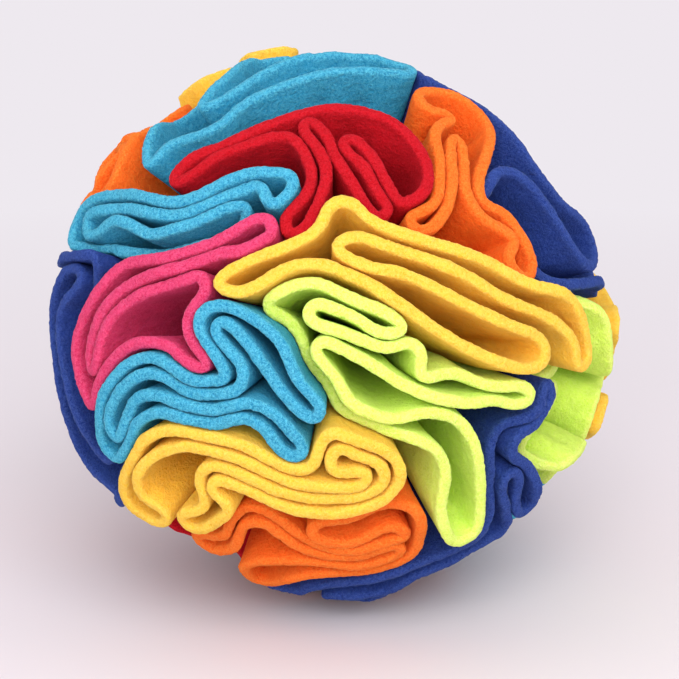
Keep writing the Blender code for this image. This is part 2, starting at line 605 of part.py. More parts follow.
def strung_order(directions):
    """The order in which the cord threads the centres: the shortest open way that two-way swaps find."""
    between = np.arccos(np.clip(directions @ directions.T, -1, 1))
    order = [int(np.argmax(directions[:, 2]))]
    while len(order) < len(directions):
        left = [i for i in range(len(directions)) if i not in order]
        order.append(min(left, key=lambda i: between[order[-1], i]))
    improved = True
    while improved:
        improved = False
        for i in range(1, len(order) - 1):
            for j in range(i + 1, len(order)):
                changed = order[:i] + order[i : j + 1][::-1] + order[j + 1 :]
                old = sum(between[a, b] for a, b in zip(order, order[1:]))
                new = sum(between[a, b] for a, b in zip(changed, changed[1:]))
                if new < old * (1 - LEAST_GAIN_SHARE):
                    order, improved = changed, True
    return order


def knot_points():
    """An overhand knot with its ends closed, in the plane of its three lobes."""
    turns = np.linspace(0, math.tau, KNOT_POINTS, endpoint=False) + math.pi
    across = np.sin(turns) + 2 * np.sin(2 * turns)
    along = np.cos(turns) - 2 * np.cos(2 * turns)
    return KNOT_SCALE * np.stack([across, along, -np.sin(3 * turns)], axis=1)


def tube(name, points, radius, sides, closed=False):
    curve = bpy.data.curves.new(name, "CURVE")
    curve.dimensions = "3D"
    curve.bevel_depth = radius
    curve.bevel_resolution = (sides - 4) // 2
    curve.use_fill_caps = not closed
    line = curve.splines.new("POLY")
    line.points.add(len(points) - 1)
    for place, point in zip(line.points, points):
        place.co = (*point, 1)
    line.use_cyclic_u = closed
    return bpy.data.objects.new(name, curve)


def welded(item, collection):
    """The curve as a closed mesh, for use as a cutter."""
    collection.objects.link(item)
    shape = item.evaluated_get(bpy.context.evaluated_depsgraph_get())
    mesh = bpy.data.meshes.new_from_object(shape)
    solid = bpy.data.objects.new(item.name, mesh)
    solid.matrix_world = item.matrix_world
    bpy.data.objects.remove(item, do_unlink=True)
    work = bmesh.new()
    work.from_mesh(mesh)
    bmesh.ops.remove_doubles(work, verts=work.verts[:], dist=MERGE_REACH)
    bmesh.ops.recalc_face_normals(work, faces=work.faces[:])
    work.to_mesh(mesh)
    work.free()
    collection.objects.link(solid)
    return solid


def strung_route(directions):
    """The cord's line through all the centres in turn, straight inside each, and those centres."""
    cord_reach = WEB_REACH - NUB_DROP
    centres = directions[strung_order(directions)]
    before = np.vstack([centres[:1], centres[:-1]])
    after = np.vstack([centres[1:], centres[-1:]])
    ahead = unit(after - before)
    half = THREADED_SHARE * NUB_RADIUS
    entries = centres * cord_reach - ahead * half
    exits = centres * cord_reach + ahead * half
    route = []
    for number in range(len(centres)):
        route += [entries[number], exits[number]]
        if number + 1 < len(centres):
            route.append(unit(exits[number] + entries[number + 1]) * cord_reach)
    return np.array(route), centres


def knot_and_ends(centres):
    """The knot's points, one lobe towards the first centre and one towards the last, and both lobes."""
    first, last = centres[0], centres[-1]
    normal = unit(np.cross(first, last))
    frame = np.stack([np.cross(first, normal), first, normal])
    points = knot_points() @ frame
    aims = [first, last - first * KNOT_LEAN_SHARE]
    return points, [points[np.argmax(points @ way)] for way in aims]


def aim(item, modifier_name, operation, other):
    step = item.modifiers.new(modifier_name, "BOOLEAN")
    step.operation = operation
    step.solver = "EXACT"
    step.object = other


def hide(item):
    item.hide_render = True
    item.display_type = "WIRE"


def build():
    clear_scene()
    parts = bpy.data.collections.new("snuffle_ball")
    cutters = bpy.data.collections.new("cutters")
    for collection in (parts, cutters):
        bpy.context.scene.collection.children.link(collection)
    finishes = {name: material(name, FLEECE_ROUGHNESS) for name in COLOURS if name != "cord"}
    finishes["cord"] = material("cord", CORD_ROUGHNESS)

    discs = [(name, in_world(loop), shares, half) for name, loop, shares, half in settled_rims()]
    gathers = gather_directions([loop for _, loop, _, _ in discs])
    route, centres = strung_route(gathers)
    knot, lobes = knot_and_ends(centres)
    ends = [lobe * (1 + (CORD_RADIUS + 2 * CORD_CLEARANCE) / np.linalg.norm(lobe)) for lobe in lobes]
    route = np.vstack([ends[0], route, ends[1]])

    hole_radius = (CORD_RADIUS + CORD_CLEARANCE) / math.cos(math.pi / HOLE_SIDES)
    hole = welded(tube("cord_hole", route, hole_radius, HOLE_SIDES), cutters)
    hide(hole)
    for (name, loop, shares, half), direction in zip(discs, gathers):
        fleece = skirt(name, loop, shares, half)
        fleece.data.materials.append(finishes[name.split("_")[1]])
        parts.objects.link(fleece)
        centre = nub(direction)
        cutters.objects.link(centre)
        hide(centre)
        aim(fleece, "gathered_centre", "UNION", centre)
        aim(fleece, "cord_hole", "DIFFERENCE", hole)
    cord = tube("core_cord", route, CORD_RADIUS, CORD_SIDES)
    tie = tube("core_knot", knot, CORD_RADIUS, CORD_SIDES, closed=True)
    for item in (cord, tie):
        item.data.materials.append(finishes["cord"])
        parts.objects.link(item)
    stand_up(parts, cutters)


def stand_up(*collections):
    """Lift the ball so that it stands on Z = 0, with its box centred on the origin."""
    bpy.context.view_layer.update()
    corners = [corner for item in collections[0].objects for corner in item.bound_box]
    middle = (np.min(corners, axis=0) + np.max(corners, axis=0)) / 2
    lift = Matrix.Translation((-middle[0], -middle[1], BALL_RADIUS - SETTLING))
    for collection in collections:
        for item in collection.objects:
            item.matrix_world = lift @ item.matrix_world


build()
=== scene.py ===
import json
import math

import bmesh
import bpy
import numpy as np
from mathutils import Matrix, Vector

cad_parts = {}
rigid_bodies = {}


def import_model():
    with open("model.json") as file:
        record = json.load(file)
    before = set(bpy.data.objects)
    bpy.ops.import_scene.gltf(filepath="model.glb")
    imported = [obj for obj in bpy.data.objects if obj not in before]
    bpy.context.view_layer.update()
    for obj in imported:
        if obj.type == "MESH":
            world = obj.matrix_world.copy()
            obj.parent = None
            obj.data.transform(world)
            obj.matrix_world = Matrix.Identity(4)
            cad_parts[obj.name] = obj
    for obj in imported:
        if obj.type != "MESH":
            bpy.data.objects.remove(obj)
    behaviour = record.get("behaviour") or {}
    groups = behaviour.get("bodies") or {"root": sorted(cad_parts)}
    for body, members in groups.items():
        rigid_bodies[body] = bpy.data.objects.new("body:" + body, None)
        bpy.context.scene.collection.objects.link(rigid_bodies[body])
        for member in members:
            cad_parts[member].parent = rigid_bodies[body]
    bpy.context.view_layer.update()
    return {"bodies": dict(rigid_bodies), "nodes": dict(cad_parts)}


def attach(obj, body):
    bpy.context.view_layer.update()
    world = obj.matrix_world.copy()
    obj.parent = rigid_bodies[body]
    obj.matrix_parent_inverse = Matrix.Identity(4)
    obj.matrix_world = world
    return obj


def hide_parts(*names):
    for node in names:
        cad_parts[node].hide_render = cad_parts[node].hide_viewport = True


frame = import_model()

nodes = frame["nodes"]
bodyName = next(iter(frame["bodies"]))
scene = bpy.context.scene

# The ball, as the frame has it, in metres
ball = {
    "radius": 0.075,
    "centre": np.array([v.co for v in nodes["core_knot"].data.vertices]).mean(0),
    "rimFromShare": 0.6,
    "weld": 1e-6,
    "floorBand": 0.0003,
    "floorGap": 0.0006,
    "coreReach": 0.0195,
    "cut": 0.124,
    "smallCuts": {"fleece_orange_upper": 0.112, "fleece_green_right": 0.112},
}
# The photograph, in pixels and metres
photo = {
    "width": 679,
    "centreX": 332,
    "centreY": 322,
    "limb": 287,
    "distance": 0.65,
    "elevation": math.radians(14.5),
}
eye = np.array([0, -math.cos(photo["elevation"]), math.sin(photo["elevation"])])

# How the rims settle, in metres and shares; a band goes from one facing of the eye to another
settling = {
    "seed": 7,
    "spacing": 0.0016,
    "leastPlaces": 24,
    "fineReads": 4000,
    "stages": 44,
    "steps": 7,
    "rimLength": (0.390, 0.430),
    "growthShare": 0.035,
    "growthRoom": 0.01,
    "hold": (-0.10, 0.08),
    "looser": {
        "fleece_teal_top": (-0.3, -0.12),
        "fleece_yellow_top_back": (-0.5, -0.3),
        "fleece_green_right": (0.10, 0.22),
        "fleece_blue_bottom": (0.30, 0.42),
    },
    "jitter": 0.00006,
    "jitterUntilShare": 0.7,
    "pitch": 0.0034,
    "hardPushShare": 0.22,
    "spread": 0.010,
    "nearShare": 1.15,
    "softPushShare": 0.008,
    "softFadeShare": 0.6,
    "pushesPerPitch": 6,
    "ownPlaces": 2,
    "pullShare": 0.4,
    "heldPullShare": 0.3,
    "straightenShare": 0.03,
    "heldFairShare": 0.1,
    "freeFairShare": 0.25,
    "homeShare": 0.2,
    "longestMove": 0.0008,
    "decimals": 9,
    "behind": {"fleece_green_right": 0.00015},
    "behindBand": (-0.1, 0.1),
    "sunkShares": {"fleece_green_right": 0.12},
    "sunkBand": (0.32, 0.4),
}
# The cloth, in metres and shares
fleece = {
    "half": 0.0015,
    "leastHalf": 0.00025,
    "gap": 0.0003,
    "column": 0.00065,
    "edge": 0.0011,
    "edgeRows": 9,
    "edgeShape": 0.8,
    "depths": (0.0017, 0.0024, 0.0032, 0.0041, 0.0052, 0.0065, 0.0081, 0.0100, 0.0123, 0.0151,
               0.0185, 0.0226, 0.0275, 0.0330, 0.0390, 0.0450),
    "leastReach": 0.01,
    "leastDownShare": 0.3,
    "pinchFrom": 0.030,
    "pinch": ((0.026, 0.85), (0.022, 0.6), (0.019, 0.35), (0.0175, 0.14)),
    "poleInner": 0.0170,
    "poleOuter": 0.0160,
    "innerExtra": 0.0006,
    "turnShare": 0.85,
    "leastTurnHalf": 0.0003,
    "flatBend": 1e-6,
    "seed": 100,
    "seedStep": 7,
    "wave": 0.0005,
    "waves": 14,
    "noiseScale": 1.6,
    "leanShare": 0.15,
    "mostLean": 0.0014,
    "leanDepths": (0, 0.014),
    "swayShare": 0.35,
    "swayFrom": 0.0036,
    "mostSway": 0.0016,
    "swayWaves": 22,
    "swayDepths": (0.001, 0.012),
    "napAndHighlightShare": 0.5,
    "napAndHighlightDepth": 0.012,
    "fuzz": {"lumps": (0.0060, 0.00045), "nap": (0.0009, 0.00045)},
}
# How far the next cloth is looked for beside each rim
sideways = {
    "coarse": 2,
    "ownCloth": 0.0042,
    "asideShare": 0.35,
    "farthest": 0.03,
    "nothingNear": 1,
}


def unit(rows):
    return rows / np.linalg.norm(rows, axis=-1, keepdims=True)


# Rims: read from the frame, made smooth and settled

def rimRings(node):
    # the strip on top of the folded wall, as its two edges in order
    shape = bmesh.new()
    shape.from_mesh(nodes[node].data)
    bmesh.ops.remove_doubles(shape, verts=shape.verts, dist=ball["weld"])
    middle = Vector(ball["centre"])
    least = ball["rimFromShare"] * ball["radius"]
    strip = {f for f in shape.faces if all((v.co - middle).length > least for v in f.verts)}
    edges = {e for f in strip for e in f.edges if sum(g in strip for g in e.link_faces) == 1}
    rings = []
    while edges:
        edge = min(edges, key=lambda e: e.index)
        start, vert = edge.verts
        ring = [start.co - middle]
        edges.remove(edge)
        while vert != start:
            ring.append(vert.co - middle)
            edge = next(e for e in vert.link_edges if e in edges)
            edges.remove(edge)
            vert = edge.other_vert(vert)
        rings.append(np.array(ring))
    shape.free()
    return rings


def centreLine(node):
    first, second = rimRings(node)
    best = None
    for way in (1, -1):
        for turn in range(len(first)):
            other = np.roll(second[::way], turn, 0)
            apart = np.linalg.norm(first - other, axis=1).sum()
            if best is None or apart < best[0]:
                best = (apart, other)
    line = (first + best[1]) / 2
    high = np.linalg.norm(line, axis=1)
    # where the ball stands, the frame's rim is flattened
    standing = line[:, 2] < -ball["centre"][2] + ball["floorBand"]
    high[standing] = high[~standing].max()
    return unit(line), high / ball["radius"]


def closedCurve(rows):
    # a smooth closed curve through the rows: a way to read it at any run, and its whole run
    count = len(rows)
    step = np.linalg.norm(np.roll(rows[:, :3], -1, 0) - rows[:, :3], axis=1)
    before = np.roll(step, 1)
    system = np.zeros((count, count))
    index = np.arange(count)
    system[index, index] = 2 * (before + step)
    system[index, (index - 1) % count] += before
    system[index, (index + 1) % count] += step
    slope = (np.roll(rows, -1, 0) - rows) / step[:, None]
    bend = np.linalg.solve(system, 6 * (slope - np.roll(slope, 1, 0)))
    run = np.concatenate([[0], np.cumsum(step)])

    def read(at):
        at = at % run[-1]
        cell = np.clip(np.searchsorted(run, at, side="right") - 1, 0, count - 1)
        after = (cell + 1) % count
        size = step[cell][:, None]
        b = ((at - run[cell])[:, None]) / size
        a = 1 - b
        curved = ((a**3 - a) * bend[cell] + (b**3 - b) * bend[after]) * size**2 / 6
        return a * rows[cell] + b * rows[after] + curved

    return read, run[-1]


def evenRuns(read, whole, spacing):
    # runs along the curve at even steps of about this length
    fine = np.linspace(0, whole, settling["fineReads"])
    trail = read(fine)[:, :3]
    travelled = np.concatenate([[0], np.cumsum(np.linalg.norm(np.diff(trail, axis=0), axis=1))])
    wanted = max(settling["leastPlaces"], round(travelled[-1] / spacing))
    return np.interp(np.linspace(0, travelled[-1], wanted, endpoint=False), travelled, fine)


def evenly(rows, spacing, whole):
    # the same closed line at even steps, straight between its points; the last value is the run
    after = np.roll(rows, -1, 0)
    after[-1, 3] += whole
    step = np.linalg.norm(after[:, :3] - rows[:, :3], axis=1)
    run = np.concatenate([[0], np.cumsum(step)])
    wanted = max(settling["leastPlaces"], round(run[-1] / spacing))
    at = np.linspace(0, run[-1], wanted, endpoint=False)
    cell = np.clip(np.searchsorted(run, at, side="right") - 1, 0, len(rows) - 1)
    share = ((at - run[cell]) / step[cell])[:, None]
    return rows[cell] * (1 - share) + after[cell] * share


def onBall(places):
    return unit(places) * ball["radius"]


def roundLength(rows):
    return np.linalg.norm(np.roll(rows[:, :3], -1, 0) - rows[:, :3], axis=1).sum()


def smoothStep(x, low, high):
    t = np.clip((x - low) / (high - low), 0, 1)
    return t * t * (3 - 2 * t)


def startRims():
    # each rim: its rows of place and run, and its curve as the frame has it, of place and height share
    rims, curves = {}, {}
    for name in sorted(n for n in nodes if n.startswith("fleece")):
        line, high = centreLine(name)
        read, whole = closedCurve(np.hstack([line * ball["radius"], high[:, None]]))
        runs = evenRuns(read, whole, settling["spacing"])
        rims[name] = np.hstack([onBall(read(runs)[:, :3]), runs[:, None]])
        curves[name] = (read, whole)
    return rims, curves


def closePairs(place, ring, spot, count):
    # pairs of places that may push each other, without neighbours on the same rim
    flat = unit(place).astype(np.float32)
    near = flat @ flat.T > math.cos(settling["nearShare"] * settling["spread"] / ball["radius"])
    who, other = np.nonzero(near)
    between = np.abs(spot[who] - spot[other])
    between = np.minimum(between, count[who] - between)
    apart = (ring[who] != ring[other]) | (between > settling["ownPlaces"])
    keep = apart & (who < other)
    return who[keep], other[keep]


def growth(rims, ring, free):
    # how much each place's step grows, so that short rims lengthen where they are free
    grow = np.zeros(len(ring))
    most = settling["growthShare"]
    for number, rows in enumerate(rims.values()):
        own = ring == number
        length = roundLength(rows)
        room = free[own].sum() * settling["spacing"]
        goal = np.clip(length, *settling["rimLength"])
        if room > settling["growthRoom"]:
            grow[own] = np.clip((goal - length) / room, -most, most)
    return grow


def settle(rims, curves):
    pitch, spread, spacing = settling["pitch"], settling["spread"], settling["spacing"]
    wobble = np.random.default_rng(settling["seed"])
    names = list(rims)
    for stage in range(settling["stages"]):
        late = stage / settling["stages"]
        for name in names:
            rims[name] = evenly(rims[name], spacing, curves[name][1])
        sizes = [len(rims[name]) for name in names]
        place = onBall(np.vstack([rims[name][:, :3] for name in names]))
        home = onBall(np.vstack([curves[name][0](rims[name][:, 3])[:, :3] for name in names]))
        limits = [settling["looser"].get(name, settling["hold"]) for name in names]
        low, high = (np.repeat(edge, sizes) for edge in zip(*limits))
        hold = smoothStep(unit(home) @ eye, low, high)
        free = 1 - hold
        drift = free * np.repeat([settling["behind"].get(name, 0) for name in names], sizes)
        ring = np.repeat(np.arange(len(names)), sizes)
        spot = np.concatenate([np.arange(size) for size in sizes])
        start = np.repeat(np.cumsum([0] + sizes[:-1]), sizes)
        count = np.repeat(sizes, sizes)
        after = start + (spot + 1) % count
        before = start + (spot - 1) % count
        rest = spacing * (1 + growth(rims, ring, free) * free)
        who, other = closePairs(place, ring, spot, count)
        eitherFree = np.maximum(free[who], free[other])
        stirred = late < settling["jitterUntilShare"]
        place += wobble.normal(0, settling["jitter"], place.shape) * free[:, None] * stirred
        softPush = settling["softPushShare"] * (1 - settling["softFadeShare"] * late)
        fairing = settling["heldFairShare"] + settling["freeFairShare"] * free[:, None]
        for _ in range(settling["steps"]):
            away = place[who] - place[other]
            far = np.linalg.norm(away, axis=1)
            soft = softPush * np.clip(spread - far, 0, None) * eitherFree
            hard = settling["hardPushShare"] * np.clip(pitch - far, 0, None)
            push = (np.minimum(soft + hard, pitch / settling["pushesPerPitch"]) / far)[:, None] * away
            move = np.zeros_like(place)
            for axis in range(3):
                move[:, axis] += np.bincount(who, push[:, axis], len(place))
                move[:, axis] -= np.bincount(other, push[:, axis], len(place))
            ahead = place[after] - place
            length = np.linalg.norm(ahead, axis=1)
            pull = ((length - rest) / length * settling["pullShare"])[:, None] * ahead
            move += (pull - pull[before]) * np.maximum(free, settling["heldPullShare"])[:, None]
            middle = (place[after] + place[before]) / 2 - place
            fair = (middle[after] + middle[before]) / 2 - middle
            move += middle * settling["straightenShare"] * free[:, None] - fair * fairing
            move += (home - place) * settling["homeShare"] * hold[:, None]
            back = drift * smoothStep(unit(place) @ eye, *settling["behindBand"])
            move -= back[:, None] * eye
            size = np.linalg.norm(move, axis=1, keepdims=True)
            place += move * np.minimum(1, settling["longestMove"] / np.maximum(size, 1e-9))
            place = onBall(place)
        place = np.round(place, settling["decimals"])
        for number, name in enumerate(names):
            rims[name] = np.hstack([place[ring == number], rims[name][:, 3:]])
    for name in names:
        print("rim", name, round(roundLength(rims[name]) * 1000), "mm")
    return rims


def fineLines(rims, curves):
    # the settled rims at the cloth's own columns: places, height shares and the way into the loop
    lines, heights, sides = {}, {}, {}
    for name, rows in rims.items():
        high = curves[name][0](rows[:, 3])[:, 3:]
        # a fold that lies deep in front of its own wall
        front = smoothStep(unit(rows[:, :3]) @ eye, *settling["sunkBand"])
        high = high - settling["sunkShares"].get(name, 0) * front[:, None]
        read, whole = closedCurve(np.hstack([rows[:, :3], evened(high, 2)]))
        fine = read(evenRuns(read, whole, fleece["column"]))
        lines[name] = onBall(fine[:, :3])
        heights[name] = evened(fine[:, 3], 3)
        ahead = unit(np.roll(lines[name], -1, 0) - np.roll(lines[name], 1, 0))
        side = np.cross(unit(lines[name]), ahead)
        middle = unit(lines[name].mean(0))
        swept = np.cross(lines[name], np.roll(lines[name], -1, 0)).sum(0) @ middle
        sides[name] = side * (1 if swept > 0 else -1)
    return lines, heights, sides


# Cloth: the settled rims as sheets

def runningLeast(values, reach):
    return np.min([np.roll(values, turn) for turn in range(-reach, reach + 1)], axis=0)


def evened(values, reach):
    return np.mean([np.roll(values, turn, 0) for turn in range(-reach, reach + 1)], axis=0)


def sideRoom(lines, sides):
    # from each place on each rim, the way to the nearest other cloth on either side
    coarse, nothing = sideways["coarse"], sideways["nothingNear"]
    everything = np.vstack([line[::coarse] for line in lines.values()]).astype(np.float32)
    starts = np.cumsum([0] + [len(line[::coarse]) for line in lines.values()])
    rooms = {}
    for number, name in enumerate(lines):
        line, side = lines[name][::coarse], sides[name][::coarse]
        count = len(line)
        away = everything[None] - line[:, None].astype(np.float32)
        far = np.linalg.norm(away, axis=2)
        across = np.einsum("ijk,ik->ij", away, side.astype(np.float32))
        own = np.arange(starts[number], starts[number + 1])
        apart = np.abs(np.arange(count)[:, None] - np.arange(count)[None])
        apart = np.minimum(apart, count - apart)
        skip = apart * fleece["column"] * coarse < sideways["ownCloth"]
        far[:, own] = np.where(skip, nothing, far[:, own])
        found = []
        for way in (1, -1):
            seen = np.where(way * across > sideways["asideShare"] * far, far, nothing)
            least = np.minimum(seen.min(axis=1), sideways["farthest"]).astype(float)
            found.append(np.repeat(least, coarse)[:len(lines[name])])
        rooms[name] = found
    return rooms


def smoothNoise(count, waves, seed):
    # a smooth wavy value round the rim, about -1 to 1
    draw = np.random.default_rng(seed)
    at = np.arange(count) / count * math.tau
    total = np.zeros(count)
    for wave in range(1, waves + 1):
        total += draw.normal() * np.sin(wave * at + draw.uniform(0, math.tau))
    return total / math.sqrt(waves / 2) / fleece["noiseScale"]


def sheetPiece(name, line, high, side, room, seed):
    radius = ball["radius"]
    count = len(line)
    gather = gatherWay(name)
    # curvature to either side, so that the inner face of a sharp turn stays in its own cloth
    turn = (np.roll(line, -1, 0) + np.roll(line, 1, 0) - 2 * line) / fleece["column"] ** 2
    bend = evened((turn * side).sum(1), 2)
    depths = np.array(fleece["depths"])
    floor = ball["centre"][2] - ball["floorGap"]
    direction = unit(line)
    top = high * radius
    top = top + fleece["wave"] * smoothNoise(count, fleece["waves"], seed)
    top = np.minimum(top, outlineLimit(name, direction))
    top = np.minimum(top, floor / np.maximum(-direction[:, 2], fleece["leastDownShare"]))
    leftRoom, rightRoom = [evened(runningLeast(r, 3), 3) for r in room]
    lean = np.clip(fleece["leanShare"] * (leftRoom - rightRoom), -fleece["mostLean"], fleece["mostLean"])
    tight = np.minimum(leftRoom, rightRoom)
    swing = np.clip(fleece["swayShare"] * (tight - fleece["swayFrom"]), 0, fleece["mostSway"])
    sway = smoothNoise(count, fleece["swayWaves"], seed + 1) * swing

    def place(offset, deep):
        # a point of the wall: sideways of the rim's line, at this depth under its top
        reach = top - deep
        angle = offset / np.maximum(reach, fleece["leastReach"])
        return unit(direction + side * angle[:, None]) * reach[:, None]

    def halfAt(way, deep):
        share = (top - deep) / radius
        free = leftRoom if way > 0 else rightRoom
        half = np.clip((free * share - fleece["gap"]) / 2, fleece["leastHalf"], fleece["half"])
        limit = fleece["turnShare"] / np.maximum(way * bend, fleece["flatBend"]) * share
        return np.minimum(half, np.maximum(limit, fleece["leastTurnHalf"]))

    def shift(deep):
        share = (top - deep) / radius
        leaning = -lean * smoothStep(deep, *fleece["leanDepths"])
        return share * (leaning + sway * smoothStep(deep, *fleece["swayDepths"]))

    # each row has its places round the rim and the weight of its nap, which also sets the strength of its
    # painted highlights
    faces = []
    for way in (1, -1):
        extra = fleece["innerExtra"] if way > 0 else 0
        face = []
        for reach, scale in fleece["pinch"][::-1]:
            half = halfAt(way, top - reach)
            spoke = unit(direction + side * (way * half / reach)[:, None])
            spoke = unit(gather + (spoke - gather) * scale)
            face.append((spoke * (reach + extra), 0))
        for deep in depths[::-1]:
            deep = np.minimum(deep, top - fleece["pinchFrom"])
            weight = fleece["napAndHighlightShare"] * float(np.exp(-deep.mean() / fleece["napAndHighlightDepth"]))
            face.append((place(way * halfAt(way, deep) + shift(deep), deep), weight))
        faces.append(face)
    cutRim = []
    for number in range(fleece["edgeRows"]):
        angle = math.pi * number / (fleece["edgeRows"] - 1)
        across, up = math.cos(angle), math.sin(angle)
        way = 1 if across >= 0 else -1
        deep = fleece["edge"] * (1 - up ** fleece["edgeShape"])
        offset = way * halfAt(way, fleece["edge"]) * abs(across) ** fleece["edgeShape"]
        cutRim.append((place(offset, deep), 1.0))
    # up one face, over the cut rim and down the other
    rows = faces[0] + cutRim + faces[1][::-1]
    grid = np.array([spots for spots, weight in rows])
    nap = np.array([weight for spots, weight in rows])
    poles = (gather * (fleece["poleInner"] + fleece["innerExtra"]), gather * fleece["poleOuter"])
    return clothFrom(name, grid, poles, nap)


# The ball's edge in the photograph, read in pixels from enlarged crops, from the right end upwards.
# The peeping pieces show beyond the others there, and the far side of the rest stays a little lower.
ballEdge = {
    "pixels": (
        (620, 320), (616, 304), (608, 292), (602, 268), (601, 245), (597, 229), (591, 219), (562, 193),
        (530, 149), (500, 113), (465, 88), (445, 77), (424, 75), (410, 65), (385, 58), (360, 49), (332, 52),
        (315, 54), (290, 48), (283, 46), (250, 53), (215, 64), (180, 78), (177, 86), (184, 106), (158, 124),
        (138, 133), (122, 136), (104, 152), (95, 180), (94, 190), (75, 206), (62, 238), (60, 256), (49, 284),
        (44, 325), (48, 368), (62, 438), (82, 463), (117, 503), (130, 522), (160, 528), (184, 542),
        (208, 557), (233, 560), (248, 580), (274, 590), (304, 596), (345, 600), (370, 602), (388, 596),
        (416, 580), (450, 566), (466, 556), (492, 542), (531, 517), (541, 499), (546, 496), (575, 467),
        (590, 452), (608, 404), (617, 350),
    ),
    "peeping": ("fleece_yellow_top_back", "fleece_orange_left_back", "fleece_yellow_right_back"),
    "lowerShare": 0.035,
    "lowerBand": (0.06, 0.16),
    "farBand": (-0.8, -0.45),
    "nearBand": (0.35, 0.5),
    "looseShare": 1.1,
    "limbShare": 1.0066,
    "leastAcrossShare": 0.2,
}


def edgeShares():
    # bearings from the right, upwards, and the share of the ball's radius there
    right, down = (np.array(ballEdge["pixels"]) - (photo["centreX"], photo["centreY"])).T
    bearing = np.degrees(np.arctan2(-down, right)) % 360
    order = np.argsort(bearing)
    share = np.hypot(right, down) / photo["limb"]
    return bearing[order], share[order]


def outlineLimit(name, direction):
    # the greatest height of a rim near the limb, so that it stays behind the ball's edge
    right = direction[:, 0]
    up = direction @ np.cross([1, 0, 0], -eye)
    facing = direction @ eye
    share = np.interp(np.degrees(np.arctan2(up, right)), *edgeShares(), period=360)
    if name not in ballEdge["peeping"]:
        share -= ballEdge["lowerShare"] * (1 - smoothStep(facing, *ballEdge["lowerBand"]))
    across = np.sqrt(np.maximum(1 - facing**2, ballEdge["leastAcrossShare"]))
    nearer = ballEdge["limbShare"] - facing * ball["radius"] / photo["distance"]
    near = smoothStep(facing, *ballEdge["farBand"]) * (1 - smoothStep(facing, *ballEdge["nearBand"]))
    loose = ballEdge["looseShare"]
    return ball["radius"] * (loose - near * (loose - share / across * nearer))


def gatherWay(name):
    # towards the gathered centre, where the cord threads the disc
    spots = np.array([v.co for v in nodes[name].data.vertices]) - ball["centre"]
    deep = spots[np.linalg.norm(spots, axis=1) < ball["coreReach"]]
    return unit(deep.mean(0))


def clothFrom(name, grid, poles, nap):
    # rows of the grid go from one face's centre over the rim to the other's
    rings, columns = grid.shape[:2]
    spots = np.vstack([grid.reshape(-1, 3), poles]) + ball["centre"]
    here = np.arange(columns)
    beside = (here + 1) % columns
    quads = np.stack([here, beside, beside + columns, here + columns], 1)
    walls = [quads + ring * columns for ring in range(rings - 1)]
    first, last = rings * columns, rings * columns + 1
    lastRing = (rings - 1) * columns
    caps = [(first, j, i) for i, j in zip(here.tolist(), beside.tolist())]
    caps += [(last, i + lastRing, j + lastRing) for i, j in zip(here.tolist(), beside.tolist())]
    mesh = bpy.data.meshes.new(name.replace("fleece", "cloth"))
    mesh.from_pydata(spots.tolist(), [], np.vstack(walls).tolist() + caps)
    mesh.update()
    if signedVolume(mesh, spots) < 0:
        mesh.flip_normals()
    item = bpy.data.objects.new(mesh.name, mesh)
    scene.collection.objects.link(item)
    # the nap weight moves the fuzz and, as an attribute, sets the strength of the painted highlights: full
    # on the cut rim, less deeper in the folds
    weight = np.concatenate([np.repeat(nap, columns), [0, 0]])
    highlightWeight = mesh.attributes.new("highlightWeight", "FLOAT", "POINT")
    highlightWeight.data.foreach_set("value", weight.astype(np.float32))
    group = item.vertex_groups.new(name="nap")
    for ring in range(rings):
        group.add(list(range(ring * columns, (ring + 1) * columns)), float(nap[ring]), "REPLACE")
    bpy.ops.object.select_all(action="DESELECT")
    item.select_set(True)
    bpy.context.view_layer.objects.active = item
    bpy.ops.object.shade_smooth()
    return item


def signedVolume(mesh, spots):
    mesh.calc_loop_triangles()
    corners = np.empty(len(mesh.loop_triangles) * 3, np.int32)
    mesh.loop_triangles.foreach_get("vertices", corners)
    a, b, c = (spots[corners.reshape(-1, 3)[:, i]] for i in range(3))
    return (a * np.cross(b, c)).sum()


def fuzz(item):
    for label, (scale, strength) in fleece["fuzz"].items():
        texture = bpy.data.textures.get(label) or bpy.data.textures.new(label, "CLOUDS")
        texture.noise_scale = scale
        texture.noise_depth = 1
        step = item.modifiers.new(label, "DISPLACE")
        step.texture = texture
        step.texture_coords = "LOCAL"
        step.strength = strength
        step.mid_level = 0.5
        step.vertex_group = "nap"
        bpy.context.view_layer.objects.active = item
        bpy.ops.object.modifier_apply(modifier=label)


# Finishes

class Signal:
    # a socket that takes part in sums
    def __init__(self, tree, socket=None):
        self.tree = tree
        self.socket = socket

    def made(self, kind, settings=(), inputs=(), output=0):
        node = self.tree.nodes.new(kind)
        for key, value in dict(settings).items():
            setattr(node, key, value)
        for key, value in dict(inputs).items():
            if isinstance(value, Signal):
                self.tree.links.new(value.socket, node.inputs[key])
            else:
                node.inputs[key].default_value = value
        return Signal(self.tree, node.outputs[output])

    def sum(self, operation, first, second):
        return self.made("ShaderNodeMath", {"operation": operation}, {0: first, 1: second})

    def __add__(self, other):
        return self.sum("ADD", self, other)

    def __sub__(self, other):
        return self.sum("SUBTRACT", self, other)

    def __mul__(self, other):
        return self.sum("MULTIPLY", self, other)

    def clamped(self):
        return self.made("ShaderNodeClamp", {}, {0: self})

    def mix(self, first, second):
        # two colours, by this signal
        return self.made("ShaderNodeMix", {"data_type": "RGBA"}, {0: self, 6: first, 7: second}, 2)


def linear(red, green, blue):
    # a colour as it looks, 0 to 255, as the shader takes it
    values = []
    for c in (red, green, blue):
        values.append(c / 255 / 12.92 if c <= 10 else ((c / 255 + 0.055) / 1.055) ** 2.4)
    return (*values, 1)


def newFinish(name):
    finish = bpy.data.materials.new(name)
    finish.use_nodes = True
    return finish, finish.node_tree, finish.node_tree.nodes["Principled BSDF"]
